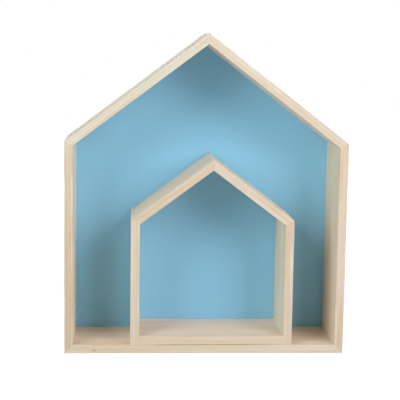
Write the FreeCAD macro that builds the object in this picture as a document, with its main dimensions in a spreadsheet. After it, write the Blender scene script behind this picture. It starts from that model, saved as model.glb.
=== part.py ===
"""House-shaped wall shelf: a small open-fronted house standing loose inside a large one.

Each house is five boards, mitred at the corners and eased along their edges, with brads under filler across
the mitres. The large one is rebated at the back for a painted panel, which pins hold, and hangs on two
keyhole hangers. The small one is an open frame that stands against that panel, with its front flush with the
large one's.

The boards follow each other round the house: floor, right wall, right roof, left roof, left wall. In a
board's own frame X runs along its outer face, Y from its front edge to its back edge, and Z from its outer
face to its inner face.

Millimetres, +Z up, the open front towards -Y. The origin is the middle of the large house's underside.
"""
import FreeCAD, Part
import Sketcher
import math
import os

DOCUMENT = "house_shelf"
SHEET = "Sizes"

# Driving dimensions
SIZES = [
    ("large_width", 300, "outside width of the large house"),
    ("large_eave", 227, "height of the large house's eaves"),
    ("large_height", 341, "height of the large house's ridge"),
    ("large_depth", 85, "front to back of the large house's boards"),
    ("large_board", 9, "thickness of the large house's boards"),
    ("small_width", 174, "outside width of the small house"),
    ("small_eave", 135.5, "height of the small house's eaves above its own underside"),
    ("small_height", 200.5, "height of the small house's ridge above its own underside"),
    ("small_depth", 82, "front to back of the small house's boards"),
    ("small_board", 9.5, "thickness of the small house's boards"),
    ("small_offset", 7.2, "how far the small house stands right of the large one's middle"),
    ("edge_radius", 0.6, "rounding of the boards' long edges"),
    ("rebate", 5, "how far the panel's rebate is cut into a board's inner face"),
    ("panel", 3, "thickness of the painted back panel"),
    ("panel_clearance", 0.3, "gap between the panel's edge and its rebate, all round"),
    ("brad", 1.2, "shank diameter of the corner brads"),
    ("brad_head", 1.9, "head diameter of the corner brads"),
    ("brad_head_height", 0.8, "head height of the corner brads"),
    ("brad_length", 16, "length of the corner brads"),
    ("brad_point", 1.5, "length of a corner brad's point"),
    ("brad_set", 1, "depth of the brads' heads below the wood"),
    ("brad_margin", 18, "distance of the brads from a board's front and back edges"),
    ("pin", 1, "shank diameter of the panel pins"),
    ("pin_head", 2, "head diameter of the panel pins"),
    ("pin_head_height", 0.6, "head height of the panel pins"),
    ("pin_length", 9, "length of the panel pins"),
    ("pin_point", 1.2, "length of a panel pin's point"),
    ("pin_margin", 65, "distance of the outer panel pins from a board's ends"),
    ("pin_spacing", 105, "largest distance between neighbouring panel pins"),
    ("nail_clearance", 0.05, "gap between a nail or screw and its hole, all round"),
    ("hanger_width", 12, "width of a hanger's strip"),
    ("hanger_length", 44, "length of a hanger's strip"),
    ("hanger_plate", 1, "thickness of a hanger's steel"),
    ("hanger_rise", 2.5, "room behind a hanger's raised middle for a screw head"),
    ("hanger_foot", 8, "length of the flat foot at each end of a hanger"),
    ("hanger_ramp", 3, "length of the slope between a hanger's foot and its raised middle"),
    ("hanger_drop", 30, "distance of a hanger's middle below the eave"),
    ("eye", 7, "diameter of a hanger's round eye"),
    ("eye_slot", 3.8, "width of the slot above a hanger's eye"),
    ("eye_travel", 7, "distance from the eye's centre to the slot's upper end centre"),
    ("screw", 2.5, "shank diameter of the hanger screws"),
    ("screw_head", 5, "head diameter of the hanger screws"),
    ("screw_head_height", 1.8, "head height of the hanger screws"),
    ("screw_length", 12, "length of a hanger screw under its head"),
    ("screw_point", 2.5, "length of a hanger screw's point"),
    ("screw_clearance", 0.2, "gap between a hanger screw and the hanger's hole, all round"),
    ("screw_end", 5, "distance of a hanger screw from its end of the hanger"),
]

# Share of a screw head's radius that is flat on top, and of its height that is straight at the rim
HEAD_FLAT = 0.6
HEAD_RIM = 0.4

# Distance within which an edge counts as lying on a corner of a board's section
ON_CORNER = 1e-6

doc = FreeCAD.newDocument(DOCUMENT)


def make_sheet():
    """The spreadsheet that holds every driving dimension under its alias."""
    sheet = doc.addObject("Spreadsheet::Sheet", SHEET)
    for row, (alias, value, meaning) in enumerate(SIZES, start=1):
        sheet.set(f"A{row}", meaning)
        sheet.set(f"B{row}", str(value))
        sheet.setAlias(f"B{row}", alias)
    doc.recompute()


def size(alias):
    """The expression that reads one driving dimension."""
    return f"{SHEET}.{alias}"


def move(x="0", y="0", z="0", axis="0; 1; 0", angle="0 deg"):
    """The expression of a placement: a turn about an axis, then a shift."""
    return f"placement(vector({x}; {y}; {z}); rotation(vector({axis}); {angle}))"


# Sketches

def make_sketch(body, name, role):
    """An empty sketch on one of its own body's origin planes."""
    sketch = body.newObject("Sketcher::SketchObject", name)
    plane = next(feature for feature in body.Origin.OriginFeatures if feature.Role == role)
    sketch.AttachmentSupport = (plane, [""])
    sketch.MapMode = "FlatFace"
    return sketch


def value_of(item, expression):
    """The present value of an expression, as an object of the document reads it."""
    return float(item.evalExpression(expression))


def tie(sketch, constraint, expression):
    """Add a constraint and bind it to an expression."""
    index = sketch.addConstraint(constraint)
    name = f"tie{index}"
    sketch.renameConstraint(index, name)
    sketch.setExpression(f"Constraints.{name}", expression)


def hold_point(sketch, geometry, vertex, across, up):
    """Hold one point of the geometry at a pair of expressions from the sketch's origin."""
    for kind, expression in (("DistanceX", across), ("DistanceY", up)):
        held = Sketcher.Constraint(kind, -1, 1, geometry, vertex, value_of(sketch, expression))
        tie(sketch, held, expression)


def draw_polygon(sketch, points):
    """A closed outline of straight lines through (across, up) pairs of expressions."""
    corners = [FreeCAD.Vector(value_of(sketch, across), value_of(sketch, up), 0) for across, up in points]
    count = len(corners)
    first = sketch.GeometryCount
    for corner in range(count):
        sketch.addGeometry(Part.LineSegment(corners[corner], corners[(corner + 1) % count]), False)
    for corner in range(count):
        following = first + (corner + 1) % count
        sketch.addConstraint(Sketcher.Constraint("Coincident", first + corner, 2, following, 1))
    for corner, (across, up) in enumerate(points):
        hold_point(sketch, first + corner, 1, across, up)


def draw_circle(sketch, across, up, diameter):
    """A circle with its centre held at a pair of expressions."""
    centre = FreeCAD.Vector(value_of(sketch, across), value_of(sketch, up), 0)
    radius = value_of(sketch, diameter) / 2
    circle = sketch.addGeometry(Part.Circle(centre, FreeCAD.Vector(0, 0, 1), radius), False)
    hold_point(sketch, circle, 3, across, up)
    tie(sketch, Sketcher.Constraint("Diameter", circle, 2 * radius), diameter)


def draw_slot(sketch, low, high, width):
    """An upright round-ended slot on the sketch's middle line, between two end centres."""
    radius = value_of(sketch, width) / 2
    normal = FreeCAD.Vector(0, 0, 1)
    base = FreeCAD.Vector(0, value_of(sketch, low), 0)
    top = FreeCAD.Vector(0, value_of(sketch, high), 0)
    side = FreeCAD.Vector(radius, 0, 0)
    lower_end = Part.ArcOfCircle(Part.Circle(base, normal, radius), math.pi, 2 * math.pi)
    upper_end = Part.ArcOfCircle(Part.Circle(top, normal, radius), 0, math.pi)
    lower = sketch.addGeometry(lower_end, False)
    right = sketch.addGeometry(Part.LineSegment(base + side, top + side), False)
    upper = sketch.addGeometry(upper_end, False)
    left = sketch.addGeometry(Part.LineSegment(top - side, base - side), False)
    for one, other in ((lower, right), (right, upper), (upper, left), (left, lower)):
        sketch.addConstraint(Sketcher.Constraint("Tangent", one, 2, other, 1))
    hold_point(sketch, lower, 3, "0", low)
    hold_point(sketch, upper, 3, "0", high)
    tie(sketch, Sketcher.Constraint("Diameter", lower, 2 * radius), width)


# Features

def make_body(name):
    return doc.addObject("PartDesign::Body", name)


def make_pad(body, name, sketch, length, midplane=False, reverse=False):
    """Extrude a sketch by an expression's length."""
    pad = body.newObject("PartDesign::Pad", name)
    pad.Profile = sketch
    pad.Midplane = midplane
    pad.Reversed = reverse
    pad.setExpression("Length", length)
    doc.recompute()
    return pad


def make_through_pocket(body, name, sketch):
    """Cut a sketch right through the body, both ways, and make sure that it took something away."""
    before = body.Shape.Volume
    pocket = body.newObject("PartDesign::Pocket", name)
    pocket.Profile = sketch
    pocket.Type = "ThroughAll"
    pocket.Midplane = True
    doc.recompute()
    if not 0 < pocket.Shape.Volume < before:
        raise RuntimeError(f"{name} cut nothing from {body.Name}")


def make_turned(name, points):
    """A piece turned about Z from a half outline of (radius, height) pairs of expressions."""
    body = make_body(name)
    sketch = make_sketch(body, f"{name}_outline", "XZ_Plane")
    draw_polygon(sketch, points)
    turned = body.newObject("PartDesign::Revolution", f"{name}_turn")
    turned.Profile = sketch
    turned.ReferenceAxis = (sketch, ["V_Axis"])
    turned.Angle = 360
    doc.recompute()
    return body


def make_copies(label, source, places):
    """One sub-part of separate solids: a copy of the source at each placement expression."""
    copies = []
    for number, place in enumerate(places, start=1):
        copy = doc.addObject("App::Link", f"{label}_{number}")
        copy.LinkedObject = source
        copy.setExpression("Placement", place)
        copies.append(copy)
    group = doc.addObject("Part::Compound", label)
    group.Label = label
    group.Links = copies
    return group


def make_drilled(label, blank, holes):
    """A sub-part: the blank with the fasteners' holes taken out of it."""
    drilled = doc.addObject("Part::Cut", label)
    drilled.Label = label
    drilled.Base = blank
    drilled.Tool = holes
    return drilled


# Boards and panels

class House:
    """The expressions of one house, worked out from its driving dimensions.

    A backed house has boards with a rebate, and a panel in it.
    """

    def __init__(self, name, x, front, z, backed):
        self.name = name
        self.x = x
        self.front = front
        self.z = z
        self.backed = backed
        self.width = size(f"{name}_width")
        self.eave = size(f"{name}_eave")
        self.height = size(f"{name}_height")
        self.depth = size(f"{name}_depth")
        self.board = size(f"{name}_board")
        self.half = f"({self.width} / 2)"
        self.rise = f"({self.height} - {self.eave})"
        self.slope = f"sqrt({self.half} ^ 2 + {self.rise} ^ 2)"
        self.pitch = f"atan({self.rise} / {self.half})"
        # Share of a board's thickness by which its inner face is shorter at each kind of mitre
        self.square_share = "1"
        self.eave_share = f"(({self.slope} - {self.rise}) / {self.half})"
        self.ridge_share = f"({self.rise} / {self.half})"
        # Height of the rebate's middle above a board's outer face, where pins and screws go in
        self.shoulder = f"({self.board} - {size('rebate')} / 2)"

    def boards(self):
        """Name, length, mitre share at each end and placement of each board, in order round the house."""
        left = f"{self.x} - {self.half}"
        right = f"{self.x} + {self.half}"
        eave = f"{self.z} + {self.eave}"
        ridge = f"{self.z} + {self.height}"
        square, at_eave, at_ridge = self.square_share, self.eave_share, self.ridge_share
        return [
            ("floor", self.width, square, square, move(left, self.front, self.z)),
            ("right_wall", self.eave, square, at_eave, move(right, self.front, self.z, angle="-90 deg")),
            ("right_roof", self.slope, at_eave, at_ridge,
             move(right, self.front, eave, angle=f"{self.pitch} - 180 deg")),
            ("left_roof", self.slope, at_ridge, at_eave,
             move(self.x, self.front, ridge, angle=f"180 deg - {self.pitch}")),
            ("left_wall", self.eave, at_eave, square, move(left, self.front, eave, angle="90 deg")),
        ]

    def blank(self, part):
        return f"{self.name}_{part}_blank"

    def place_on(self, part, local):
        """The expression of a placement that is given in a board's own frame."""
        return f"{self.blank(part)}.Placement * {local}"


def ease_edges(body, pad, depth, thickness):
    """Round the edges at the corners of the board's section, all but a rebate's, along its whole length."""
    corners = ((0, 0), (0, thickness), (depth, 0), (depth, thickness))
    eased = []
    for number, edge in enumerate(pad.Shape.Edges, start=1):
        ends = [vertex.Point for vertex in edge.Vertexes]
        for y, z in corners:
            if all(math.hypot(end.y - y, end.z - z) < ON_CORNER for end in ends):
                eased.append(f"Edge{number}")
    fillet = body.newObject("PartDesign::Fillet", f"{body.Name}_ease")
    fillet.Base = (pad, eased)
    fillet.setExpression("Radius", size("edge_radius"))
    doc.recompute()


def make_board(house, part, length, start_share, end_share, place):
    """A board: its section run to length, its edges eased, its two ends mitred."""
    body = make_body(house.blank(part))
    depth, board = house.depth, house.board
    back_corner = [(depth, board)]
    if house.backed:
        lip = f"{board} - {size('rebate')}"
        panel_front = f"{depth} - {size('panel')}"
        back_corner = [(depth, lip), (panel_front, lip), (panel_front, board)]
    section = make_sketch(body, f"{body.Name}_section", "YZ_Plane")
    draw_polygon(section, [("0", "0"), (depth, "0")] + back_corner + [("0", board)])
    run = make_pad(body, f"{body.Name}_run", section, length)
    ease_edges(body, run, value_of(section, depth), value_of(section, board))
    start = f"{board} * {start_share}"
    end = f"{board} * {end_share}"
    mitres = make_sketch(body, f"{body.Name}_mitres", "XZ_Plane")
    # Each mitre takes off a triangle that reaches a board's thickness past the outer and inner faces
    below, above = f"-{board}", f"2 * {board}"
    draw_polygon(mitres, [(f"-({start})", below), (f"2 * {start}", above), (f"-({start})", above)])
    draw_polygon(mitres, [(f"{length} + {end}", below), (f"{length} + {end}", above),
                          (f"{length} - 2 * {end}", above)])
    make_through_pocket(body, f"{body.Name}_ends", mitres)
    body.setExpression("Placement", place)
    return body


def make_panel(house):
    """A panel: the house's outline drawn in by the boards' lips and a clearance."""
    body = make_body(house.blank("back_panel"))
    inset = f"({house.board} - {size('rebate')} + {size('panel_clearance')})"
    side = f"{house.half} - {inset}"
    eave = f"{house.eave} - {inset} * {house.eave_share}"
    ridge = f"{house.height} - {inset} * {house.slope} / {house.half}"
    outline = make_sketch(body, f"{body.Name}_outline", "XZ_Plane")
    draw_polygon(outline, [(f"-({side})", inset), (side, inset),
                           (side, eave), ("0", ridge), (f"-({side})", eave)])
    make_pad(body, f"{body.Name}_sheet", outline, size("panel"), reverse=True)
    face = f"{house.front} + {house.depth} - {size('panel')}"
    body.setExpression("Placement", move(house.x, face, house.z))
    return body


# Fasteners

def make_nail(name, kind, sunk, spread="0", mouth="0"):
    """A nail with a flat head and a point, driven along +Z with its head sunk below the surface at Z = 0.

    With a spread and a mouth it is the nail's hole: wider all round, and open past the surface.
    """
    head = f"{size(kind + '_head')} / 2 + {spread}"
    shank = f"{size(kind)} / 2 + {spread}"
    top = f"{sunk} - ({mouth})"
    neck = f"{sunk} + {size(kind + '_head_height')} + {spread}"
    tip = f"{sunk} + {size(kind + '_length')} + {spread}"
    taper = f"{tip} - {size(kind + '_point')}"
    return make_turned(name, [("0", top), (head, top), (head, neck),
                              (shank, neck), (shank, taper), ("0", tip)])


def make_plug(name):
    """A plug of filler on a sunk brad's head, proud of the surface at Z = 0 until it is cut flush."""
    radius = f"{size('brad_head')} / 2"
    top = f"-({size('brad_set')} + {radius})"
    base = size("brad_set")
    return make_turned(name, [("0", top), (radius, top), (radius, base), ("0", base)])


def make_screw(name):
    """A domed-head screw, driven along +Z with its head's underside at Z = 0."""
    head = f"{size('screw_head')} / 2"
    shank = f"{size('screw')} / 2"
    top = f"-{size('screw_head_height')}"
    tip = size("screw_length")
    return make_turned(name, [
        ("0", top), (f"{head} * {HEAD_FLAT}", top), (head, f"{top} * {HEAD_RIM}"), (head, "0"),
        (shank, "0"), (shank, f"{tip} - {size('screw_point')}"), ("0", tip)])


def make_screw_hole(name):
    """The hole of a hanger screw in the wood and the panel."""
    shank = f"{size('screw')} / 2 + {size('nail_clearance')}"
    tip = f"{size('screw_length')} + {size('nail_clearance')}"
    taper = f"{tip} - {size('screw_point')}"
    return make_turned(name, [("0", "0"), (shank, "0"), (shank, taper), ("0", tip)])


def brad_places(house):
    """The board and the placement of each brad: two across each mitre.

    They go square through the walls' feet and the ridge, and upright at the eaves.
    """
    half_board = f"{house.board} / 2"
    foot = half_board
    ridge = f"{half_board} * {house.ridge_share}"
    eave = f"{half_board} * {house.slope} / {house.half}"
    driven = [
        ("right_wall", foot, "0 deg"),
        ("left_wall", f"{house.eave} - {foot}", "0 deg"),
        ("right_roof", eave, f"-{house.pitch}"),
        ("left_roof", f"{house.slope} - {eave}", house.pitch),
        ("right_roof", f"{house.slope} - {ridge}", "0 deg"),
    ]
    margin = size("brad_margin")
    return [(part, house.place_on(part, move(along, deep, angle=lean)))
            for part, along, lean in driven
            for deep in (margin, f"{house.depth} - {margin}")]


def make_fillers(house, blanks, plug, brads):
    """The filler over one house's brads: a plug on each head, cut off flush with its board's face."""
    flush = []
    for part in dict.fromkeys(part for part, _ in brads):
        places = [place for pierced, place in brads if pierced == part]
        filler = doc.addObject("Part::Common", f"{house.name}_{part}_filler")
        filler.Base = make_copies(f"{house.name}_{part}_plugs", plug, places)
        filler.Tool = blanks[part]
        flush.append(filler)
    label = f"{house.name}_brad_filler"
    group = doc.addObject("Part::Compound", label)
    group.Label = label
    group.Links = flush
    return group


def pin_places(house, blanks):
    """A row of pins through the panel into each board's rebate, evenly spaced between its end margins."""
    places = []
    for part, length, _, _, _ in house.boards():
        row = f"({length} - 2 * {size('pin_margin')})"
        gaps = math.ceil(value_of(blanks[part], f"{row} / {size('pin_spacing')}"))
        for number in range(gaps + 1):
            along = f"{size('pin_margin')} + {row} * {number} / {gaps}"
            local = move(along, house.depth, house.shoulder, axis="1; 0; 0", angle="90 deg")
            places.append(house.place_on(part, local))
    return places


def hanger_places(house):
    """The middle of each hanger's foot, on the back of the left and right walls."""
    back = f"{house.front} + {house.depth}"
    level = f"{house.z} + {house.eave} - {size('hanger_drop')}"
    reach = f"({house.half} - {house.shoulder})"
    return [("left_hanger", f"{house.x} - {reach}", back, level),
            ("right_hanger", f"{house.x} + {reach}", back, level)]


def screw_places(house):
    """Two screws for each hanger, driven forwards into the walls."""
    places = []
    for _, x, back, level in hanger_places(house):
        for side in ("-", "+"):
            z = f"{level} {side} ({size('hanger_length')} / 2 - {size('screw_end')})"
            places.append(move(x, f"{back} + {size('hanger_plate')}", z, axis="1; 0; 0", angle="90 deg"))
    return places


def make_hanger(label, place):
    """A round-ended steel strip, bent to stand off in its middle, with a keyhole eye and two screw holes."""
    plate, rise = size("hanger_plate"), size("hanger_rise")
    end = f"{size('hanger_length')} / 2"
    ramp = f"({end} - {size('hanger_foot')})"
    flat = f"({ramp} - {size('hanger_ramp')})"
    crown = f"{rise} + {plate}"

    bent = make_body(f"{label}_bent")
    profile = make_sketch(bent, f"{label}_profile", "YZ_Plane")
    board_side = [("0", f"-{end}"), ("0", f"-{ramp}"), (rise, f"-{flat}"),
                  (rise, flat), ("0", ramp), ("0", end)]
    wall_side = [(plate, end), (plate, ramp), (crown, flat),
                 (crown, f"-{flat}"), (plate, f"-{ramp}"), (plate, f"-{end}")]
    draw_polygon(profile, board_side + wall_side)
    make_pad(bent, f"{label}_strip", profile, size("hanger_width"), midplane=True)
    bent.setExpression("Placement", place)

    plan = make_body(f"{label}_plan")
    outline = make_sketch(plan, f"{label}_outline", "XZ_Plane")
    centre = f"({end} - {size('hanger_width')} / 2)"
    draw_slot(outline, f"-{centre}", centre, size("hanger_width"))
    make_pad(plan, f"{label}_outline_pad", outline, f"4 * ({crown})", midplane=True)
    eye = f"-{size('eye_travel')} / 2"
    holes = make_sketch(plan, f"{label}_holes", "XZ_Plane")
    draw_circle(holes, "0", eye, size("eye"))
    screw_hole = f"{size('screw')} + 2 * {size('screw_clearance')}"
    for side in ("-", ""):
        draw_circle(holes, "0", f"{side}({end} - {size('screw_end')})", screw_hole)
    make_through_pocket(plan, f"{label}_holes_cut", holes)
    slot = make_sketch(plan, f"{label}_slot", "XZ_Plane")
    draw_slot(slot, eye, f"{size('eye_travel')} / 2", size("eye_slot"))
    make_through_pocket(plan, f"{label}_slot_cut", slot)
    plan.setExpression("Placement", place)

    hanger = doc.addObject("Part::Common", label)
    hanger.Label = label
    hanger.Base = bent
    hanger.Tool = plan
    return hanger


def make_house(house, nails, extra_holes):
    """All the sub-parts of one house: boards, brads and filler, and a backed one's panel and pins."""
    blanks = {}
    for part, length, start_share, end_share, place in house.boards():
        blanks[part] = make_board(house, part, length, start_share, end_share, place)
    brads = brad_places(house)
    brad_spots = [place for _, place in brads]
    fixed = [make_copies(f"{house.name}_corner_brads", nails["brad"], brad_spots),
             make_fillers(house, blanks, nails["plug"], brads)]
    drilled = [make_copies(f"{house.name}_brad_holes", nails["brad_hole"], brad_spots)] + extra_holes
    if house.backed:
        pins = pin_places(house, blanks)
        fixed.append(make_copies(f"{house.name}_panel_pins", nails["pin"], pins))
        drilled.append(make_copies(f"{house.name}_pin_holes", nails["pin_hole"], pins))
        blanks["back_panel"] = make_panel(house)
    holes = doc.addObject("Part::Compound", f"{house.name}_holes")
    holes.Links = drilled
    return [make_drilled(f"{house.name}_{part}", blank, holes) for part, blank in blanks.items()] + fixed


def check(pieces):
    """Stop before anything is written if an object failed or a sub-part isn't sound."""
    for item in doc.Objects:
        if {"Invalid", "Error"} & set(item.State):
            raise RuntimeError(f"{item.Name} failed: {item.State}")
    for piece in pieces:
        shape = piece.Shape
        if shape.isNull() or not shape.isValid() or not shape.Solids:
            raise RuntimeError(f"{piece.Label} has no sound solid")
        if piece.TypeId == "Part::Cut" and not shape.Volume < piece.Base.Shape.Volume:
            raise RuntimeError(f"{piece.Label} lost nothing to its holes")


def write(pieces):
    os.makedirs("parts", exist_ok=True)
    for piece in pieces:
        piece.Shape.exportStep(f"parts/{piece.Label}.step")
        print(f"{piece.Label}: {len(piece.Shape.Solids)} solid(s), {piece.Shape.Volume:.1f} mm3")


make_sheet()

large = House("large", "0", f"(-{size('large_depth')} / 2)", "0", backed=True)
panel_face = f"({large.front} + {large.depth} - {size('panel')})"
small = House("small", size("small_offset"), f"({panel_face} - {size('small_depth')})", size("large_board"),
              backed=False)

gap = size("nail_clearance")
brad_mouth = f"{size('brad_set')} + {size('brad_head')}"
nails = {
    "brad": make_nail("brad", "brad", size("brad_set")),
    "brad_hole": make_nail("brad_hole", "brad", size("brad_set"), gap, brad_mouth),
    "plug": make_plug("brad_plug"),
    "pin": make_nail("pin", "pin", "0"),
    "pin_hole": make_nail("pin_hole", "pin", "0", gap, size("pin_head")),
}
screws = screw_places(large)
screw_holes = make_copies("hanger_screw_holes", make_screw_hole("screw_hole"), screws)

pieces = make_house(large, nails, [screw_holes])
pieces += make_house(small, nails, [])
for label, x, back, level in hanger_places(large):
    pieces.append(make_hanger(label, move(x, back, level)))
pieces.append(make_copies("hanger_screws", make_screw("screw"), screws))

doc.recompute()
check(pieces)
write(pieces)
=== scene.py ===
"""The looks of a house-shaped wall shelf: a small open-fronted house standing loose inside a large one.

Pale sanded softwood boards, one matt blue panel with bare fibre board behind, wire pins and brads, and
zinc-plated hangers and screws. Metres, +Z up, the open front towards -Y. Every place on the shelf is read
from the parts in model.glb.
"""
import math

import bmesh
import bpy
from mathutils import Matrix, Vector


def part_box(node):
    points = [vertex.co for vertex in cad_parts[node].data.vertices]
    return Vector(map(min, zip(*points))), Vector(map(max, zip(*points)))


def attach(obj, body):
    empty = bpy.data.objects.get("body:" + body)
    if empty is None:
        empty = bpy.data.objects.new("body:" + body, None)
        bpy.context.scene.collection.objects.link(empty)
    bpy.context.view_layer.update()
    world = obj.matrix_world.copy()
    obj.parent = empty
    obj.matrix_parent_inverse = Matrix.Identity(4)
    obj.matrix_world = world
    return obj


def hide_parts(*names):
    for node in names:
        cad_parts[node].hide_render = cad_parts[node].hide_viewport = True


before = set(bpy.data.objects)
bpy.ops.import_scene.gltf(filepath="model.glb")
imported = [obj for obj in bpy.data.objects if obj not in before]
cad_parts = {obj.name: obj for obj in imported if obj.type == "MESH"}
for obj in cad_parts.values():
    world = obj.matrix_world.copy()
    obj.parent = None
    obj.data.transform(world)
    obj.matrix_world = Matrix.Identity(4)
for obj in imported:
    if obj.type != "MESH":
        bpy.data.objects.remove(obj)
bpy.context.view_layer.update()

MM = 0.001
QUARTER_TURN = math.pi / 2

# Camera: where it stands, how it is turned, and its focal length in pixels of the square picture
CAMERA_PLACE = (-0.08459, -1.23871, 0.32830)
CAMERA_YAW, CAMERA_PITCH, CAMERA_ROLL = 0.06458, -0.13425, 0.01565
FOCAL_PIXELS = 1144.83
PICTURE_PIXELS = 400
SENSOR_WIDTH = 36.0

# Softboxes: name, direction in degrees (azimuth from the front, positive to the right, and elevation),
# power in watts and the faint tint of the lamp
SOFTBOXES = [
    ("left_softbox", -46, 25, 14.35, (0.97, 1.00, 0.99)),
    ("right_softbox", 39, 23, 14.9, (1.00, 0.955, 0.97)),
    ("rear_softbox", 180, 8, 8.0, (1.00, 1.00, 1.00)),
]
SOFTBOX_DISTANCE = 1.5
SOFTBOX_SIDE = 0.9
AIM = (0.0, 0.0, 0.16)
AMBIENT = 0.06
AMBIENT_TINT = (0.70, 0.90, 1.00, 1.0)

# Floor: its tone as it lights things, its tone and glow as it is seen, and where it fades to plain white
FLOOR_SIDE = 6.0
FLOOR_DROP = 0.2 * MM
FLOOR_TONE = 0.7
FLOOR_SEEN_PAINT = 0.30
FLOOR_SEEN_GLOW = 0.90
FLOOR_FADE_START, FLOOR_FADE_END = 0.3, 0.9
WHITE = (1.0, 1.0, 1.0, 1.0)


class Nodes:
    """Adds nodes to a tree.

    An input given as a socket is linked; a number, colour or vector is set on the socket.
    """

    def __init__(self, tree):
        self.tree = tree

    def add(self, kind, inputs=None, **settings):
        node = self.tree.nodes.new(kind)
        for name, value in settings.items():
            setattr(node, name, value)
        for name, value in (inputs or {}).items():
            self.feed(node.inputs[name], value)
        return node

    def feed(self, socket, value):
        if isinstance(value, bpy.types.NodeSocket):
            self.tree.links.new(value, socket)
        else:
            socket.default_value = value

    def math(self, operation, first, second=0.0):
        return self.add("ShaderNodeMath", {0: first, 1: second}, operation=operation).outputs[0]

    def ease(self, value, low, high, start=0.0, end=1.0):
        """A smooth step from start, where the value is low, to end, where it is high."""
        inputs = {"Value": value, "From Min": low, "From Max": high, "To Min": start, "To Max": end}
        return self.add("ShaderNodeMapRange", inputs, interpolation_type="SMOOTHSTEP").outputs["Result"]

    def spread(self, value, start, end):
        """A value from 0 to 1 spread over another range."""
        inputs = {"Value": value, "To Min": start, "To Max": end}
        return self.add("ShaderNodeMapRange", inputs).outputs["Result"]

    def vectors(self, operation, first, second=(0.0, 0.0, 0.0)):
        return self.add("ShaderNodeVectorMath", {0: first, 1: second}, operation=operation).outputs

    def apart(self, vector):
        return self.add("ShaderNodeSeparateXYZ", {"Vector": vector}).outputs

    def together(self, x, y, z):
        return self.add("ShaderNodeCombineXYZ", {"X": x, "Y": y, "Z": z}).outputs["Vector"]


# Octaves of the noise in each kind of pattern, and the strength of each octave next to the one before
COARSE_DETAIL, PLAIN_DETAIL, FINE_DETAIL, FELT_DETAIL = 1.0, 2.0, 3.0, 4.0
PLAIN_GRIT, FIBRE_GRIT, FELT_GRIT = 0.5, 0.6, 0.7


class Finish(Nodes):
    """Adds the nodes of a material's pattern."""

    def place(self):
        return self.add("ShaderNodeTexCoord").outputs["Object"]

    def noise(self, place, cycles, seed, detail=PLAIN_DETAIL, grit=PLAIN_GRIT):
        """Smooth noise from 0 to 1. Its cycles a metre are the same for all axes, or given for each."""
        scale = cycles if isinstance(cycles, tuple) else (cycles, cycles, cycles)
        scaled = self.add("ShaderNodeMapping", {"Vector": place, "Scale": scale}).outputs["Vector"]
        inputs = {"Vector": scaled, "W": seed, "Scale": 1.0, "Detail": detail, "Roughness": grit}
        return self.add("ShaderNodeTexNoise", inputs, noise_dimensions="4D").outputs["Fac"]

    def tint(self, share, first, second, mode="MIX", clamp=True):
        """The second colour over the first, by a share, which goes past 0 and 1 where it isn't clamped."""
        node = self.add("ShaderNodeMix", data_type="RGBA", blend_type=mode, clamp_factor=clamp)
        colours = [socket for socket in node.inputs if socket.type == "RGBA"]
        self.feed(node.inputs["Factor"], share)
        self.feed(colours[0], first)
        self.feed(colours[1], second)
        return next(socket for socket in node.outputs if socket.type == "RGBA")

    def shade(self, colour, level):
        """A colour made darker or lighter by a level."""
        levels = {"Red": level, "Green": level, "Blue": level}
        grey = self.add("ShaderNodeCombineColor", levels).outputs["Color"]
        return self.tint(1.0, colour, grey, mode="MULTIPLY")

    def cover(self, shader, colour, roughness, height, depth, strength):
        """Link a surface's colour, roughness and relief to its shader."""
        relief = self.add("ShaderNodeBump", {"Height": height, "Distance": depth, "Strength": strength})
        self.feed(shader.inputs["Base Color"], colour)
        self.feed(shader.inputs["Roughness"], roughness)
        self.feed(shader.inputs["Normal"], relief.outputs["Normal"])


def make_material(name):
    """A new material with a bare Principled shader, its node adder and that shader."""
    material = bpy.data.materials.new(name)
    material.use_nodes = True
    return material, Finish(material.node_tree), material.node_tree.nodes["Principled BSDF"]


# Houses and their boards

class House:
    """One house's outline, read from its nodes, and the frame of each of its boards.

    In a board's own frame X runs along its outer face, Y from its front edge to its back edge, and Z from
    its outer face to its inner face.
    """

    def __init__(self, name):
        self.name = name
        self.body = f"{name}_house"
        low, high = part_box(f"{name}_floor")
        self.left, self.right = low.x, high.x
        self.front, self.back = low.y, high.y
        self.base = low.z
        self.board = high.z - low.z
        self.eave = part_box(f"{name}_right_wall")[1].z
        self.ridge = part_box(f"{name}_right_roof")[1].z
        self.middle = (self.left + self.right) / 2
        half = (self.right - self.left) / 2
        rise = self.ridge - self.eave
        self.pitch = math.atan2(rise, half)
        self.slope = math.hypot(half, rise)
        self.square_mitre = 1.0
        self.eave_mitre = (self.slope - rise) / half
        self.ridge_mitre = rise / half

    def boards(self):
        """Each board's part name, corner, turn about Y, length, and mitre at its start and at its end.

        A mitre is the share of the thickness by which it shortens the inner face.
        """
        wall = self.eave - self.base
        floor = self.right - self.left
        square, eave, ridge = self.square_mitre, self.eave_mitre, self.ridge_mitre
        return [
            ("floor", (self.left, self.base), 0.0, floor, square, square),
            ("right_wall", (self.right, self.base), -QUARTER_TURN, wall, square, eave),
            ("right_roof", (self.right, self.eave), self.pitch - math.pi, self.slope, eave, ridge),
            ("left_roof", (self.middle, self.ridge), math.pi - self.pitch, self.slope, ridge, eave),
            ("left_wall", (self.left, self.eave), QUARTER_TURN, wall, eave, square),
        ]


# Softwood

PALE_WOOD = (0.745, 0.645, 0.515, 1.0)
WARM_WOOD = (0.645, 0.520, 0.370, 1.0)
PALE_FACE = (0.850, 0.775, 0.645, 1.0)
WARM_FACE = (0.740, 0.600, 0.430, 1.0)
AMBER_WOOD = (0.640, 0.475, 0.300, 1.0)
CREAM_WOOD = (0.810, 0.725, 0.605, 1.0)
LATE_WOOD = (0.590, 0.425, 0.260, 1.0)
KNOT_WOOD = (0.420, 0.250, 0.130, 1.0)
# Paler eased edges: partly sanded wood, partly a painted highlight
SANDED_EDGE_AND_HIGHLIGHT = (0.800, 0.710, 0.580, 1.0)
SEAM_TONE = (0.330, 0.230, 0.140, 1.0)
# Painted shadow in the gap under a board's lower front edge
GAP_SHADOW_WOOD = (0.290, 0.175, 0.100, 1.0)
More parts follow.
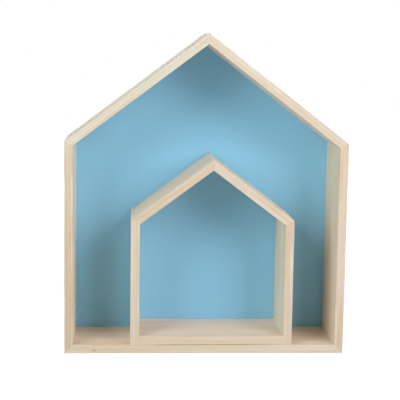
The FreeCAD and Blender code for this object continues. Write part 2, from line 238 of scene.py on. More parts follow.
# What the colour of the least and of the most blushing wood is multiplied by
GREENISH = (0.915, 1.000, 1.020, 1.0)
ROSY = (1.100, 0.970, 0.980, 1.0)
# How blushing the outer faces of all boards are, from 0 to 1
OUTER_BLUSH = 0.37

RING_SPACING = 3.6 * MM
RING_WANDER = 5 * MM
# Places in a ring, from its start to the next one's, and the share of late wood at each
RING_STOPS = [(0.0, 0.25), (0.12, 0.0), (0.55, 0.12), (0.88, 1.0), (1.0, 0.25)]
RING_SHARE = 0.45
AMBER_SHARE = 0.40
CREAM_SHARE = 0.42
# The share of the streaks and rings that a planed face shows
FACE_MARKS = 0.45
PORE_SHARE = 0.3
FACE_START, FACE_FULL = 0.3 * MM, 1.2 * MM
EDGE_WIDTH = 1.1 * MM
EDGE_SHARE = 0.25
SEAM_WIDTH = 0.2 * MM
SEAM_SHARE = 0.2
KNOT_SIZE = (2.2 * MM, 5 * MM, 1.4 * MM)
# Where the knot's core ends and its halo fades out, in shares of its size
KNOT_CORE, KNOT_HALO = 0.4, 1.4
KNOT_SHARE = 0.5

# Cycles a metre along the grain, and across it, of each kind of mark in the wood
WANDER_CYCLES = (5.0, 22.0, 22.0)
RING_STRENGTH_CYCLES = (4.0, 60.0, 60.0)
TONE_CYCLES = (6.0, 45.0, 45.0)
AMBER_CYCLES = (12.0, 270.0, 270.0)
CREAM_CYCLES = (14.0, 330.0, 330.0)
FIBRE_CYCLES = (70.0, 3200.0, 3200.0)
PORE_CYCLES = (160.0, 2400.0, 2400.0)
AMBER_SEED, CREAM_SEED = 20.5, 40.5

# Levels of the noise between which each kind of mark comes in
RING_STRENGTH_STEP = (0.35, 0.75)
AMBER_STEP = (0.50, 0.66)
CREAM_STEP = (0.52, 0.68)
PORE_STEP = (0.70, 0.78)

# How far each kind of mark goes
RING_LEAST = 0.15
TONE_REACH = 0.8
FIBRE_SHADES = (0.92, 1.08)
WOOD_ROUGHNESS = (0.52, 0.74)
FIBRE_HEIGHT, RING_HEIGHT = 0.6, 0.4
WOOD_RELIEF_DEPTH = 0.12 * MM
WOOD_RELIEF_STRENGTH = 0.25
WOOD_GLOSS = 0.3

# Each board: depth and height of its log's pith in the board's frame, in millimetres; how warm and how
# blushing its sawn edges are, and its planed faces, whose warmth and blush also hold painted light and
# shade from the bounce and the tinted lamps that fall on its inner face; how much warmer its edges get
# along it; and how marked they are
BOARD_LOOKS = ("Pith Depth", "Pith Height", "Edge Warmth", "Edge Blush", "Face Warmth And Shade", "Face Blush And Light Tint",
               "Edge Drift", "Edge Marks")
BOARD_CUTS = {
    "large_floor": (30, 95, 0.36, 0.39, 0.53, 0.74, 0.0, 0.8),
    "large_right_wall": (70, -80, 0.43, 0.54, 0.55, 0.34, -0.2, 1.7),
    "large_right_roof": (10, -120, 0.22, 0.30, -0.10, 0.62, 0.0, 1.4),
    "large_left_roof": (55, -110, 0.05, 0.00, 0.58, 0.14, 0.0, 1.1),
    "large_left_wall": (-15, 90, 0.74, 0.35, 0.02, 0.55, 0.7, 1.8),
    "small_floor": (20, -100, 0.42, 0.62, 0.33, 0.74, 0.0, 0.6),
    "small_right_wall": (60, 85, 0.58, 0.38, 0.55, 0.16, 0.0, 1.5),
    "small_right_roof": (35, -90, 0.20, 0.32, 0.18, 0.41, 0.4, 1.5),
    "small_left_roof": (-20, -100, 0.69, 0.34, 0.44, 0.28, -0.2, 1.4),
    "small_left_wall": (45, -130, 0.31, 0.24, 0.10, 0.54, 0.0, 1.8),
}
# The pin knot that some boards have: along, depth and height in the board's frame, in millimetres
PIN_KNOTS = {
    "large_floor": (32, 0, 3),
    "large_left_wall": (88, 51, 0),
    "large_right_roof": (64, 33, 0),
    "small_left_wall": (70, 47, 0),
}
NO_KNOT = (-1000, 0, 0)
# Painted shadow of the gap under the lower front edge of the board that stands and slides on another: how
# dark it is
GAP_SHADOWS = {"small_floor": 1.0}
GAP_SHADOW_WIDTH = (0.45 * MM, 0.9 * MM)
# From the middle of the board, where the painted shadow starts to fade and where it ends, in shares of the
# length
GAP_SHADOW_REACH = (0.22, 0.48)
# Where the middle of a board is, as a share of its length
MIDDLE = 0.5


def make_softwood_group():
    """The pattern of a sanded softwood board, in the board's own frame."""
    group = bpy.data.node_groups.new("sanded_softwood", "ShaderNodeTree")
    for name in ("Place", "Knot"):
        group.interface.new_socket(name, in_out="INPUT", socket_type="NodeSocketVector")
    for name in (*BOARD_LOOKS, "Seed", "Gap Shadow", "Length", "Depth", "Thickness", "Start Mitre", "End Mitre"):
        group.interface.new_socket(name, in_out="INPUT", socket_type="NodeSocketFloat")
    group.interface.new_socket("Colour", in_out="OUTPUT", socket_type="NodeSocketColor")
    for name in ("Roughness", "Relief"):
        group.interface.new_socket(name, in_out="OUTPUT", socket_type="NodeSocketFloat")
    nodes = Finish(group)
    given = nodes.add("NodeGroupInput").outputs
    place, seed = given["Place"], given["Seed"]
    parts = nodes.apart(place)
    along, deep, high = parts["X"], parts["Y"], parts["Z"]
    inner = nodes.math("SUBTRACT", given["Thickness"], high)
    back = nodes.math("SUBTRACT", given["Depth"], deep)

    # Growth rings round a pith that lies outside the board, wandering along the grain
    wander = nodes.spread(nodes.noise(place, WANDER_CYCLES, seed), -RING_WANDER, RING_WANDER)
    off_deep = nodes.math("SUBTRACT", deep, nodes.math("MULTIPLY", given["Pith Depth"], MM))
    off_high = nodes.math("SUBTRACT", high, nodes.math("MULTIPLY", given["Pith Height"], MM))
    squares = nodes.math("ADD", nodes.math("POWER", off_deep, 2.0), nodes.math("POWER", off_high, 2.0))
    radius = nodes.math("ADD", nodes.math("SQRT", squares), wander)
    turn = nodes.math("FRACT", nodes.math("DIVIDE", radius, RING_SPACING))
    ring = nodes.add("ShaderNodeValToRGB", {"Fac": turn})
    stops = ring.color_ramp.elements
    for position, level in RING_STOPS:
        stop = stops.new(position)
        stop.color = (level, level, level, 1.0)
    stops.remove(stops[0])
    stops.remove(stops[-1])
    patches = nodes.noise(place, RING_STRENGTH_CYCLES, seed)
    strength = nodes.ease(patches, *RING_STRENGTH_STEP, RING_LEAST, 1.0)
    late = nodes.math("MULTIPLY", ring.outputs["Color"], strength)

    # Broad tone, amber and cream streaks, fine fibres and pores
    tone = nodes.spread(nodes.noise(place, TONE_CYCLES, seed), -TONE_REACH, TONE_REACH)
    amber = nodes.noise(place, AMBER_CYCLES, nodes.math("ADD", seed, AMBER_SEED), FINE_DETAIL)
    cream = nodes.noise(place, CREAM_CYCLES, nodes.math("ADD", seed, CREAM_SEED), FINE_DETAIL)
    fibre = nodes.noise(place, FIBRE_CYCLES, seed, FINE_DETAIL, FIBRE_GRIT)
    pore = nodes.ease(nodes.noise(place, PORE_CYCLES, seed, COARSE_DETAIL), *PORE_STEP)

    # Sawn edges and planed faces differ in tone, and so do inner and outer faces; the planed faces' tone
    # also holds painted light and shade
    off_middle = nodes.math("SUBTRACT", nodes.math("DIVIDE", along, given["Length"]), MIDDLE)
    drift = nodes.math("MULTIPLY", off_middle, given["Edge Drift"])
    edge_warmth = nodes.math("ADD", nodes.math("ADD", given["Edge Warmth"], tone), drift)
    edge_wood = nodes.tint(edge_warmth, PALE_WOOD, WARM_WOOD, clamp=False)
    edge_blush = nodes.tint(given["Edge Blush"], GREENISH, ROSY)
    face_warmth_and_shade = nodes.math("ADD", given["Face Warmth And Shade"], tone)
    face_wood_and_shade = nodes.tint(face_warmth_and_shade, PALE_FACE, WARM_FACE, clamp=False)
    outer = nodes.ease(high, FACE_START, FACE_FULL, 1.0, 0.0)
    inner_blush_and_light_tint = nodes.tint(given["Face Blush And Light Tint"], GREENISH, ROSY)
    face_blush_and_light_tint = nodes.tint(outer, inner_blush_and_light_tint, nodes.tint(OUTER_BLUSH, GREENISH, ROSY))
    face = nodes.ease(nodes.math("MINIMUM", deep, back), FACE_START, FACE_FULL)
    colour = nodes.tint(face, edge_wood, face_wood_and_shade)
    colour = nodes.tint(1.0, colour, nodes.tint(face, edge_blush, face_blush_and_light_tint), mode="MULTIPLY")
    marks = nodes.spread(face, given["Edge Marks"], FACE_MARKS)
    for share, wood in ((nodes.ease(amber, *AMBER_STEP, 0.0, AMBER_SHARE), AMBER_WOOD),
                        (nodes.ease(cream, *CREAM_STEP, 0.0, CREAM_SHARE), CREAM_WOOD),
                        (nodes.math("MULTIPLY", late, RING_SHARE), LATE_WOOD)):
        colour = nodes.tint(nodes.math("MULTIPLY", share, marks), colour, wood)
    colour = nodes.shade(colour, nodes.spread(fibre, *FIBRE_SHADES))
    colour = nodes.tint(nodes.math("MULTIPLY", pore, PORE_SHARE), colour, LATE_WOOD)

    # Pin knot
    off_knot = nodes.vectors("SUBTRACT", place, given["Knot"])["Vector"]
    off_knot = nodes.vectors("DIVIDE", off_knot, KNOT_SIZE)["Vector"]
    off_knot = nodes.vectors("LENGTH", off_knot)["Value"]
    knot = nodes.ease(off_knot, KNOT_CORE, KNOT_HALO, KNOT_SHARE, 0.0)
    colour = nodes.tint(knot, colour, KNOT_WOOD)

    # Eased edges, paler partly from sanding and partly as a painted highlight: front outer, front inner and
    # back outer
    nearest = nodes.math("MINIMUM", nodes.math("MAXIMUM", deep, high), nodes.math("MAXIMUM", deep, inner))
    nearest = nodes.math("MINIMUM", nearest, nodes.math("MAXIMUM", back, high))
    colour = nodes.tint(nodes.ease(nearest, 0.0, EDGE_WIDTH, EDGE_SHARE, 0.0), colour, SANDED_EDGE_AND_HIGHLIGHT)

    # Painted shadow of the gap under the lower front edge, strongest in its middle
    gap_shadow = nodes.ease(nodes.math("MAXIMUM", deep, high), *GAP_SHADOW_WIDTH, given["Gap Shadow"], 0.0)
    reached = nodes.ease(nodes.math("ABSOLUTE", off_middle), *GAP_SHADOW_REACH, 1.0, 0.0)
    colour = nodes.tint(nodes.math("MULTIPLY", gap_shadow, reached), colour, GAP_SHADOW_WOOD)

    # Glue line at each mitre
    start = nodes.math("SUBTRACT", along, nodes.math("MULTIPLY", high, given["Start Mitre"]))
    end = nodes.math("SUBTRACT", given["Length"], nodes.math("MULTIPLY", high, given["End Mitre"]))
    end = nodes.math("SUBTRACT", end, along)
    seam = nodes.ease(nodes.math("MINIMUM", start, end), 0.0, SEAM_WIDTH, SEAM_SHARE, 0.0)
    colour = nodes.tint(seam, colour, SEAM_TONE)

    # Relief: fibres and late wood stand up, pores and the glue line lie low
    fibres = nodes.math("MULTIPLY", fibre, FIBRE_HEIGHT)
    ridges = nodes.math("ADD", fibres, nodes.math("MULTIPLY", late, RING_HEIGHT))
    relief = nodes.math("SUBTRACT", ridges, nodes.math("ADD", pore, seam))
    roughness = nodes.spread(fibre, *WOOD_ROUGHNESS)
    nodes.add("NodeGroupOutput", {"Colour": colour, "Roughness": roughness, "Relief": relief})
    return group


def make_board_wood(group, house, seed, part, corner, turn, length, start_mitre, end_mitre):
    """One board's softwood: the shared pattern laid along that board."""
    node = f"{house.name}_{part}"
    material, nodes, shader = make_material(f"{node}_softwood")
    board_frame = {"Vector": nodes.place(), "Location": (corner[0], house.front, corner[1]),
                   "Rotation": (0.0, turn, 0.0)}
    place = nodes.add("ShaderNodeMapping", board_frame, vector_type="TEXTURE").outputs["Vector"]
    wood = nodes.add("ShaderNodeGroup", node_tree=group)
    board = {"Place": place, "Knot": Vector(PIN_KNOTS.get(node, NO_KNOT)) * MM, "Seed": seed,
             "Gap Shadow": GAP_SHADOWS.get(node, 0.0), "Length": length, "Depth": house.back - house.front,
             "Thickness": house.board, "Start Mitre": start_mitre, "End Mitre": end_mitre}
    board.update(zip(BOARD_LOOKS, BOARD_CUTS[node]))
    for name, value in board.items():
        nodes.feed(wood.inputs[name], value)
    shader.inputs["Specular IOR Level"].default_value = WOOD_GLOSS
    nodes.cover(shader, wood.outputs["Colour"], wood.outputs["Roughness"], wood.outputs["Relief"],
                WOOD_RELIEF_DEPTH, WOOD_RELIEF_STRENGTH)
    return material


# Panel and filler

PAINT = (0.290, 0.617, 0.853, 1.0)
PAINT_DEEP = (0.275, 0.597, 0.833, 1.0)
PAINT_SEED = 3.0
PAINT_CLOUD_CYCLES = 14.0
PAINT_STIPPLE_CYCLES = 900.0
PAINT_STIPPLE_SHADES = (0.97, 1.03)
PAINT_ROUGHNESS = (0.50, 0.66)
PAINT_GLOSS = 0.15
PAINT_RELIEF_DEPTH = 0.05 * MM
PAINT_RELIEF_STRENGTH = 0.25
FIBRE_BOARD = (0.360, 0.245, 0.150, 1.0)
FIBRE_BOARD_DARK = (0.290, 0.190, 0.112, 1.0)
FIBRE_BOARD_CYCLES = 420.0
FIBRE_BOARD_STEP = (0.35, 0.65)
PAINT_EDGE = 0.2 * MM


def make_panel_paint(node):
    """Matt blue paint with a roller's stipple on the front, and bare fibre board on the back."""
    low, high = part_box(node)
    middle = (low.y + high.y) / 2
    material, nodes, shader = make_material(f"{node}_paint")
    place = nodes.place()
    cloud = nodes.noise(place, PAINT_CLOUD_CYCLES, PAINT_SEED)
    stipple = nodes.noise(place, PAINT_STIPPLE_CYCLES, PAINT_SEED, COARSE_DETAIL)
    paint = nodes.tint(cloud, PAINT, PAINT_DEEP)
    paint = nodes.shade(paint, nodes.spread(stipple, *PAINT_STIPPLE_SHADES))
    felt = nodes.noise(place, FIBRE_BOARD_CYCLES, PAINT_SEED, FELT_DETAIL, FELT_GRIT)
    bare = nodes.tint(nodes.ease(felt, *FIBRE_BOARD_STEP), FIBRE_BOARD, FIBRE_BOARD_DARK)
    behind = nodes.ease(nodes.apart(place)["Y"], middle, middle + PAINT_EDGE)
    shader.inputs["Specular IOR Level"].default_value = PAINT_GLOSS
    nodes.cover(shader, nodes.tint(behind, paint, bare), nodes.spread(stipple, *PAINT_ROUGHNESS), stipple,
                PAINT_RELIEF_DEPTH, PAINT_RELIEF_STRENGTH)
    return material


FILLER = (0.640, 0.480, 0.310, 1.0)
FILLER_DARK = (0.545, 0.395, 0.245, 1.0)
FILLER_SEED = 5.0
FILLER_CYCLES = 2600.0
FILLER_STEP = (0.3, 0.7)
FILLER_ROUGHNESS = (0.7, 0.9)
FILLER_GLOSS = 0.2
FILLER_RELIEF_DEPTH = 0.04 * MM
FILLER_RELIEF_STRENGTH = 0.3


def make_filler():
    """Wood filler, sanded flush: darker than the wood and without grain."""
    material, nodes, shader = make_material("tinted_filler")
    grit = nodes.noise(nodes.place(), FILLER_CYCLES, FILLER_SEED)
    colour = nodes.tint(nodes.ease(grit, *FILLER_STEP), FILLER, FILLER_DARK)
    shader.inputs["Specular IOR Level"].default_value = FILLER_GLOSS
    nodes.cover(shader, colour, nodes.spread(grit, *FILLER_ROUGHNESS), grit,
                FILLER_RELIEF_DEPTH, FILLER_RELIEF_STRENGTH)
    return material


# Steel: each finish's bright and dull tone, the cycles a metre of its brushing marks along X, Y and Z, and
# its roughness
STEELS = {
    "drawn_wire": ((0.48, 0.48, 0.49, 1.0), (0.36, 0.36, 0.37, 1.0), (2000.0, 200.0, 2000.0), (0.28, 0.42)),
    "zinc_plate": ((0.46, 0.47, 0.48, 1.0), (0.34, 0.35, 0.36, 1.0), (1500.0, 1500.0, 60.0), (0.26, 0.44)),
    "rubbed_zinc": ((0.66, 0.66, 0.66, 1.0), (0.54, 0.54, 0.54, 1.0), (1500.0, 1500.0, 60.0), (0.18, 0.30)),
    "zinc_screw": ((0.44, 0.45, 0.46, 1.0), (0.32, 0.33, 0.34, 1.0), (1800.0, 900.0, 1800.0), (0.24, 0.40)),
}
STEEL_MARK_SEED, STEEL_CLOUD_SEED = 7.0, 8.0
STEEL_CLOUD_CYCLES = 160.0
STEEL_CLOUD_STEP = (0.3, 0.7)
STEEL_MARK_SHADES = (0.88, 1.12)
STEEL_RELIEF_DEPTH = 0.02 * MM
STEEL_RELIEF_STRENGTH = 0.2


def make_steel(name):
    """Plated or drawn steel, brushed along one axis and duller in clouds where the plating is thin."""
    bright, dull, brushing, roughness = STEELS[name]
    material, nodes, shader = make_material(name)
    place = nodes.place()
    marks = nodes.noise(place, brushing, STEEL_MARK_SEED, FINE_DETAIL)
    cloud = nodes.noise(place, STEEL_CLOUD_CYCLES, STEEL_CLOUD_SEED, FINE_DETAIL)
    colour = nodes.tint(nodes.ease(cloud, *STEEL_CLOUD_STEP), bright, dull)
    colour = nodes.shade(colour, nodes.spread(marks, *STEEL_MARK_SHADES))
    shader.inputs["Metallic"].default_value = 1.0
    nodes.cover(shader, colour, nodes.spread(marks, *roughness), marks,
                STEEL_RELIEF_DEPTH, STEEL_RELIEF_STRENGTH)
    return material


# Fasteners

# Sizes in millimetres, apart from the crown, a power that squares a head's dome
PIN_SIZES = {
    "Head Diameter": 1.9, "Head Height": 0.7, "Crown": 0.45,
    "Shank Diameter": 1.0, "Shank Length": 8.4, "Point Length": 1.2,
}
SCREW_SIZES = {
    "Head Diameter": 5.0, "Head Height": 1.8, "Crown": 0.55,
    "Shank Diameter": 1.7, "Shank Length": 12.0, "Point Length": 2.5,
    "Thread Pitch": 1.1, "Thread Height": 0.38,
    "Recess Width": 2.9, "Recess Slot": 0.75, "Recess Depth": 1.1,
}
# How far the underside of each head lies below the top of its solid
PIN_HEAD_SUNK = 0.6
SCREW_HEAD_SUNK = SCREW_SIZES["Head Height"]
HEAD_SEGMENTS, HEAD_RINGS = 32, 16
SHANK_STEPS, SHANK_SIDES = 24, 16
POINT_BLUNTNESS = 0.04
SHANK_ROOT = 0.2
THREAD_STEPS = 20
THREAD_SIDES = 3
RECESS_TAPER = 0.45
SHARP_ANGLE = math.radians(35)
TURN_SEED = 11


class Form(Nodes):
    """Adds the nodes of a fastener's form, along Z with the head's underside at zero, in millimetres."""

    def place(self):
        return self.add("GeometryNodeInputPosition").outputs["Position"]

    def moved(self, geometry, place):
        inputs = {"Geometry": geometry, "Position": place}
        return self.add("GeometryNodeSetPosition", inputs).outputs["Geometry"]

    def domed_head(self, given):
        """A sphere with its lower half pressed flat and its upper half squared by the crown."""
        fineness = {"Segments": HEAD_SEGMENTS, "Rings": HEAD_RINGS}
        ball = self.add("GeometryNodeMeshUVSphere", fineness).outputs["Mesh"]
        parts = self.apart(self.place())
        radius = self.math("DIVIDE", given["Head Diameter"], 2.0)
        rise = self.math("POWER", self.math("MAXIMUM", parts["Z"], 0.0), given["Crown"])
        across = self.math("MULTIPLY", parts["X"], radius)
        over = self.math("MULTIPLY", parts["Y"], radius)
        up = self.math("MULTIPLY", rise, given["Head Height"])
        return self.moved(ball, self.together(across, over, up))

    def point_share(self, given, down):
        """One along the shank, falling to almost nothing at the tip of the point."""
        left = self.math("SUBTRACT", given["Shank Length"], down)
        share = self.math("DIVIDE", left, given["Point Length"])
        return self.math("MAXIMUM", self.math("MINIMUM", share, 1.0), POINT_BLUNTNESS)

    def tube(self, path, radius, sides):
        ring = self.add("GeometryNodeCurvePrimitiveCircle", {"Resolution": sides, "Radius": 1.0})
        inputs = {"Curve": path, "Profile Curve": ring.outputs["Curve"], "Scale": radius, "Fill Caps": True}
        return self.add("GeometryNodeCurveToMesh", inputs).outputs["Mesh"]

    def pointed_shank(self, given):
        tip = self.together(0.0, 0.0, self.math("MULTIPLY", given["Shank Length"], -1.0))
        line = self.add("GeometryNodeCurvePrimitiveLine", {"Start": (0.0, 0.0, SHANK_ROOT), "End": tip})
        path = self.add("GeometryNodeResampleCurve", {"Curve": line.outputs["Curve"], "Count": SHANK_STEPS})
        down = self.math("MULTIPLY", self.apart(self.place())["Z"], -1.0)
        radius = self.math("DIVIDE", given["Shank Diameter"], 2.0)
        tapered = self.math("MULTIPLY", radius, self.point_share(given, down))
        return self.tube(path.outputs["Curve"], tapered, SHANK_SIDES)

    def thread(self, given):
        """A ridge wound round the shank, which follows the taper of the point."""
        radius = self.math("DIVIDE", given["Shank Diameter"], 2.0)
        turns = self.math("DIVIDE", given["Shank Length"], given["Thread Pitch"])
        coil = self.add("GeometryNodeCurveSpiral", {
            "Resolution": THREAD_STEPS, "Rotations": turns, "Start Radius": radius, "End Radius": radius,
            "Height": given["Shank Length"], "Reverse": True}).outputs["Curve"]
        parts = self.apart(self.place())
        share = self.point_share(given, parts["Z"])
        across = self.math("MULTIPLY", parts["X"], share)
        over = self.math("MULTIPLY", self.math("MULTIPLY", parts["Y"], share), -1.0)
        path = self.moved(coil, self.together(across, over, self.math("MULTIPLY", parts["Z"], -1.0)))
        down = self.math("MULTIPLY", self.apart(self.place())["Z"], -1.0)
        ridge = self.math("MULTIPLY", given["Thread Height"], self.point_share(given, down))
        return self.tube(path, ridge, THREAD_SIDES)

    def cross_recess(self, given):
        """Two crossing blades that narrow downwards, to be cut from the head's top."""
        bottom = self.math("SUBTRACT", given["Head Height"], given["Recess Depth"])
        tall = self.math("MULTIPLY", given["Recess Depth"], 2.0)
        size = self.together(given["Recess Width"], given["Recess Slot"], tall)
        blade = self.add("GeometryNodeMeshCube", {"Size": size}).outputs["Mesh"]
        parts = self.apart(self.place())
        below = self.math("SUBTRACT", given["Recess Depth"], parts["Z"])
        depth = self.math("DIVIDE", below, given["Recess Depth"])
        share = self.math("SUBTRACT", 1.0, self.math("MULTIPLY", depth, RECESS_TAPER / 2))
        lifted = self.math("ADD", self.math("ADD", parts["Z"], given["Recess Depth"]), bottom)
        narrowed = self.math("MULTIPLY", parts["X"], share)
        blade = self.moved(blade, self.together(narrowed, parts["Y"], lifted))
        crossing = {"Geometry": blade, "Rotation": (0.0, 0.0, QUARTER_TURN)}
        return blade, self.add("GeometryNodeTransform", crossing).outputs["Geometry"]

    def joined(self, operation, pieces, cut=None):
        node = self.add("GeometryNodeMeshBoolean", operation=operation, solver="EXACT")
        if cut is not None:
            self.feed(node.inputs["Mesh 1"], cut)
        for piece in pieces:
            self.tree.links.new(piece, node.inputs["Mesh 2"])
        return node.outputs["Mesh"]

    def driven(self, places, fastener, steel):
        """The fastener at every place, its head towards the back, each turned its own way."""
        turn = self.add("FunctionNodeRandomValue", {"Seed": TURN_SEED}, data_type="FLOAT")
        limits = [socket for socket in turn.inputs if socket.type == "VALUE"]
        self.feed(limits[1], QUARTER_TURN)
        value = next(socket for socket in turn.outputs if socket.type == "VALUE")
        rotation = self.together(-QUARTER_TURN, value, 0.0)
        inputs = {"Points": places, "Instance": fastener, "Rotation": rotation, "Scale": (MM, MM, MM)}
        copies = self.add("GeometryNodeInstanceOnPoints", inputs).outputs["Instances"]
        real = self.add("GeometryNodeRealizeInstances", {"Geometry": copies}).outputs["Geometry"]
        smooth = self.add("GeometryNodeSetShadeSmooth", {"Geometry": real}).outputs["Geometry"]
        angle = self.add("GeometryNodeInputMeshEdgeAngle").outputs["Unsigned Angle"]
        sharp = self.math("GREATER_THAN", angle, SHARP_ANGLE)
        edges = {"Geometry": smooth, "Selection": sharp, "Shade Smooth": False}
        crisp = self.add("GeometryNodeSetShadeSmooth", edges, domain="EDGE").outputs["Geometry"]
        finished = self.add("GeometryNodeSetMaterial", {"Geometry": crisp, "Material": steel})
        return finished.outputs["Geometry"]


def start_fastener_tree(name, sizes):
    """A geometry tree with named inputs for a fastener's sizes, its node adder and its inputs."""
    tree = bpy.data.node_groups.new(name, "GeometryNodeTree")
    tree.interface.new_socket("Places", in_out="INPUT", socket_type="NodeSocketGeometry")
    for size in sizes:
        tree.interface.new_socket(size, in_out="INPUT", socket_type="NodeSocketFloat")
    tree.interface.new_socket("Fasteners", in_out="OUTPUT", socket_type="NodeSocketGeometry")
    nodes = Form(tree)
    return tree, nodes, nodes.add("NodeGroupInput").outputs


def make_pin_tree(steel):
    """Panel pins: a low domed head on a pointed wire."""
    tree, nodes, given = start_fastener_tree("panel_pin", PIN_SIZES)
    pin = nodes.joined("UNION", [nodes.domed_head(given), nodes.pointed_shank(given)])
    nodes.add("NodeGroupOutput", {"Fasteners": nodes.driven(given["Places"], pin, steel)})
    return tree


def make_screw_tree(steel):
    """Hanger screws: a domed head with a cross recess on a pointed, threaded shank."""
    tree, nodes, given = start_fastener_tree("cross_head_screw", SCREW_SIZES)
    parts = [nodes.domed_head(given), nodes.pointed_shank(given), nodes.thread(given)]
    whole = nodes.joined("UNION", parts)
    screw = nodes.joined("DIFFERENCE", nodes.cross_recess(given), cut=whole)
    nodes.add("NodeGroupOutput", {"Fasteners": nodes.driven(given["Places"], screw, steel)})
    return tree


MERGE_DISTANCE = 0.001 * MM
# A loose shape with fewer corners than this is no fastener but a sliver
LEAST_CORNERS = 100


def merged_copy(node):
    """A CAD node's loose triangles as one welded shape."""
    shape = bmesh.new()
    shape.from_mesh(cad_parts[node].data)
    bmesh.ops.remove_doubles(shape, verts=shape.verts, dist=MERGE_DISTANCE)
    return shape


def islands(shape):
    """The corners of each separate solid in a shape."""
    found = []
    for first in shape.verts:
        if first.tag:
            continue
        first.tag = True
        reached = [first]
        for vert in reached:
            for edge in vert.link_edges:
                other = edge.other_vert(vert)
                if not other.tag:
                    other.tag = True
                    reached.append(other)
        found.append(reached)
    return found


def solid_boxes(node):
    """The lowest and highest corner of each separate solid in a node."""
    shape = merged_copy(node)
    boxes = []
    for corners in islands(shape):
        low = Vector([min(vert.co[axis] for vert in corners) for axis in range(3)])
        high = Vector([max(vert.co[axis] for vert in corners) for axis in range(3)])
        boxes.append((low, high))
    shape.free()
    return boxes


def weld(mesh):
    """Join a mesh's doubled corners and drop the slivers that cutting left behind."""
    shape = bmesh.new()
    shape.from_mesh(mesh)
    bmesh.ops.remove_doubles(shape, verts=shape.verts, dist=MERGE_DISTANCE)
    bmesh.ops.dissolve_degenerate(shape, edges=shape.edges, dist=MERGE_DISTANCE)
    slivers = [vert for corners in islands(shape) if len(corners) < LEAST_CORNERS for vert in corners]
    bmesh.ops.delete(shape, geom=slivers, context="VERTS")
    bmesh.ops.triangulate(shape, faces=shape.faces)
    folds = [face for face in shape.faces if all(len(edge.link_faces) > 2 for edge in face.edges)]
    bmesh.ops.delete(shape, geom=folds, context="FACES_ONLY")
    shape.to_mesh(mesh)
    shape.free()


def make_fasteners(name, node, body, tree, sizes, head_sunk):
    """One mesh of all the fasteners of a node, each seated where its solid is."""
    places = []
    for low, high in solid_boxes(node):
        middle = (low + high) / 2
        places.append((middle.x, high.y - head_sunk * MM, middle.z))
    mesh = bpy.data.meshes.new(name)
    mesh.from_pydata(places, [], [])
    piece = bpy.data.objects.new(name, mesh)
    bpy.context.scene.collection.objects.link(piece)
    modifier = piece.modifiers.new("form", "NODES")
    modifier.node_group = tree
    for socket in tree.interface.items_tree:
        if socket.name in sizes:
            modifier[socket.identifier] = sizes[socket.name]
    made = piece.evaluated_get(bpy.context.evaluated_depsgraph_get())
    plain = bpy.data.meshes.new_from_object(made)
    piece.modifiers.remove(modifier)
    weld(plain)
    piece.data = plain
    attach(piece, body)
    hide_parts(node)


# Hangers

HANGER_BEVEL = 0.18 * MM
HANGER_BEVEL_STEPS = 2
FLAT_ANGLE = math.radians(1)
# How far along Y the normal of a face points if it is part of a flat plate
SQUARE_ON = 0.999


def make_hanger(node, body, zinc, rubbed_zinc):
    """A hanger with its punched edges rounded and worn bright."""
    shape = merged_copy(node)
    bmesh.ops.dissolve_limit(shape, angle_limit=FLAT_ANGLE, verts=shape.verts, edges=shape.edges)
    shape.verts.index_update()
    corners = [vert.co[:] for vert in shape.verts]
    faces = [[vert.index for vert in face.verts] for face in shape.faces]
    shape.free()
    mesh = bpy.data.meshes.new(f"{node}_plate")
    mesh.from_pydata(corners, [], faces)
    mesh.materials.append(zinc)
    mesh.materials.append(rubbed_zinc)
    piece = bpy.data.objects.new(f"{node}_plate", mesh)
    bpy.context.scene.collection.objects.link(piece)
    bevel = piece.modifiers.new("bevel", "BEVEL")
    bevel.width = HANGER_BEVEL
    bevel.segments = HANGER_BEVEL_STEPS
    bevel.limit_method = "ANGLE"
    bevel.angle_limit = SHARP_ANGLE
    bevel.material = mesh.materials.find(rubbed_zinc.name)
    made = piece.evaluated_get(bpy.context.evaluated_depsgraph_get())
    plain = bpy.data.meshes.new_from_object(made)
    piece.modifiers.remove(bevel)
    piece.data = plain
    plain.set_sharp_from_angle(angle=SHARP_ANGLE)
    for face in plain.polygons:
        face.use_smooth = abs(face.normal.y) < SQUARE_ON
    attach(piece, body)
    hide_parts(node)


# Stage, light and camera

def seen_directly(nodes):
    """One for rays from the camera, metal or glass, and zero for those that only light things."""
    path = nodes.add("ShaderNodeLightPath").outputs
    seen = nodes.math("MAXIMUM", path["Is Camera Ray"], path["Is Glossy Ray"])
    return nodes.math("MAXIMUM", seen, path["Is Transmission Ray"])


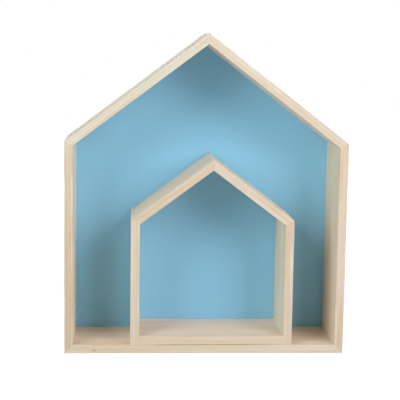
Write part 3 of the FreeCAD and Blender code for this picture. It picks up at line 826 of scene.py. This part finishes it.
def make_floor():
    """A plain white floor that keeps the object's shadow and fades to white further out."""
    mesh = bpy.data.meshes.new("floor")
    half = FLOOR_SIDE / 2
    corners = [(x, y, -FLOOR_DROP) for x, y in ((-half, -half), (half, -half), (half, half), (-half, half))]
    mesh.from_pydata(corners, [], [(0, 1, 2, 3)])
    floor = bpy.data.objects.new("floor", mesh)
    bpy.context.scene.collection.objects.link(floor)
    material, nodes, shader = make_material("white_floor")
    tree = material.node_tree
    tree.nodes.remove(shader)
    plain = nodes.add("ShaderNodeBsdfDiffuse", {"Color": (FLOOR_TONE, FLOOR_TONE, FLOOR_TONE, 1.0)})
    paint = (FLOOR_SEEN_PAINT, FLOOR_SEEN_PAINT, FLOOR_SEEN_PAINT, 1.0)
    shaded = nodes.add("ShaderNodeBsdfDiffuse", {"Color": paint})
    away = nodes.vectors("LENGTH", nodes.place())["Value"]
    fade = nodes.ease(away, FLOOR_FADE_START, FLOOR_FADE_END, FLOOR_SEEN_GLOW, 1.0)
    glow = nodes.add("ShaderNodeEmission", {"Strength": fade})
    seen = nodes.add("ShaderNodeAddShader", {0: shaded.outputs[0], 1: glow.outputs[0]})
    shaders = {0: seen_directly(nodes), 1: plain.outputs[0], 2: seen.outputs[0]}
    either = nodes.add("ShaderNodeMixShader", shaders)
    nodes.feed(tree.nodes["Material Output"].inputs["Surface"], either.outputs[0])
    mesh.materials.append(material)


def make_world():
    """White where it is seen, and a dim even light elsewhere."""
    world = bpy.data.worlds.new("white_room")
    world.use_nodes = True
    nodes = Finish(world.node_tree)
    background = world.node_tree.nodes["Background"]
    seen = seen_directly(nodes)
    nodes.feed(background.inputs["Color"], nodes.tint(seen, AMBIENT_TINT, WHITE))
    nodes.feed(background.inputs["Strength"], nodes.spread(seen, AMBIENT, 1.0))
    bpy.context.scene.world = world


def make_softbox(name, azimuth, elevation, power, tint):
    """A square softbox at a fixed distance, facing the shelf."""
    lamp = bpy.data.lights.new(name, "AREA")
    lamp.shape = "SQUARE"
    lamp.size = SOFTBOX_SIDE
    lamp.energy = power
    lamp.color = tint
    side, up = math.radians(azimuth), math.radians(elevation)
    away = Vector((math.sin(side) * math.cos(up), -math.cos(side) * math.cos(up), math.sin(up)))
    softbox = bpy.data.objects.new(name, lamp)
    softbox.location = Vector(AIM) + away * SOFTBOX_DISTANCE
    softbox.rotation_euler = away.to_track_quat("Z", "Y").to_euler()
    bpy.context.scene.collection.objects.link(softbox)


def make_camera():
    """The photograph's view."""
    level = math.cos(CAMERA_PITCH)
    ahead = Vector((math.sin(CAMERA_YAW) * level, math.cos(CAMERA_YAW) * level, math.sin(CAMERA_PITCH)))
    across = Vector((math.cos(CAMERA_YAW), -math.sin(CAMERA_YAW), 0.0))
    over = across.cross(ahead)
    right = across * math.cos(CAMERA_ROLL) + over * math.sin(CAMERA_ROLL)
    up = over * math.cos(CAMERA_ROLL) - across * math.sin(CAMERA_ROLL)
    lens = bpy.data.cameras.new("camera")
    lens.sensor_width = SENSOR_WIDTH
    lens.lens = SENSOR_WIDTH * FOCAL_PIXELS / PICTURE_PIXELS
    camera = bpy.data.objects.new("camera", lens)
    turn = Matrix((right, up, -ahead)).transposed()
    camera.matrix_world = Matrix.Translation(CAMERA_PLACE) @ turn.to_4x4()
    bpy.context.scene.collection.objects.link(camera)
    bpy.context.scene.camera = camera


def dress(node, material):
    """Give a CAD node a finish."""
    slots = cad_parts[node].data.materials
    slots.clear()
    slots.append(material)


def main():
    """Dress the solids, make the finer pieces, and set up the stage, the lights and the camera."""
    softwood = make_softwood_group()
    filler = make_filler()
    steel = {name: make_steel(name) for name in STEELS}
    pin_tree = make_pin_tree(steel["drawn_wire"])
    screw_tree = make_screw_tree(steel["zinc_screw"])
    large, small = House("large"), House("small")
    seed = 0.0
    for house in (large, small):
        for part, *cut in house.boards():
            dress(f"{house.name}_{part}", make_board_wood(softwood, house, seed, part, *cut))
            seed += 1.0
        dress(f"{house.name}_brad_filler", filler)
        dress(f"{house.name}_corner_brads", steel["drawn_wire"])
    dress("large_back_panel", make_panel_paint("large_back_panel"))
    make_fasteners("domed_panel_pins", "large_panel_pins", large.body,
                   pin_tree, PIN_SIZES, PIN_HEAD_SUNK)
    make_fasteners("cross_head_screws", "hanger_screws", large.body,
                   screw_tree, SCREW_SIZES, SCREW_HEAD_SUNK)
    for node in ("left_hanger", "right_hanger"):
        make_hanger(node, large.body, steel["zinc_plate"], steel["rubbed_zinc"])
    make_floor()
    make_world()
    for softbox in SOFTBOXES:
        make_softbox(*softbox)
    make_camera()
    bpy.context.scene.view_settings.view_transform = "Standard"


main()
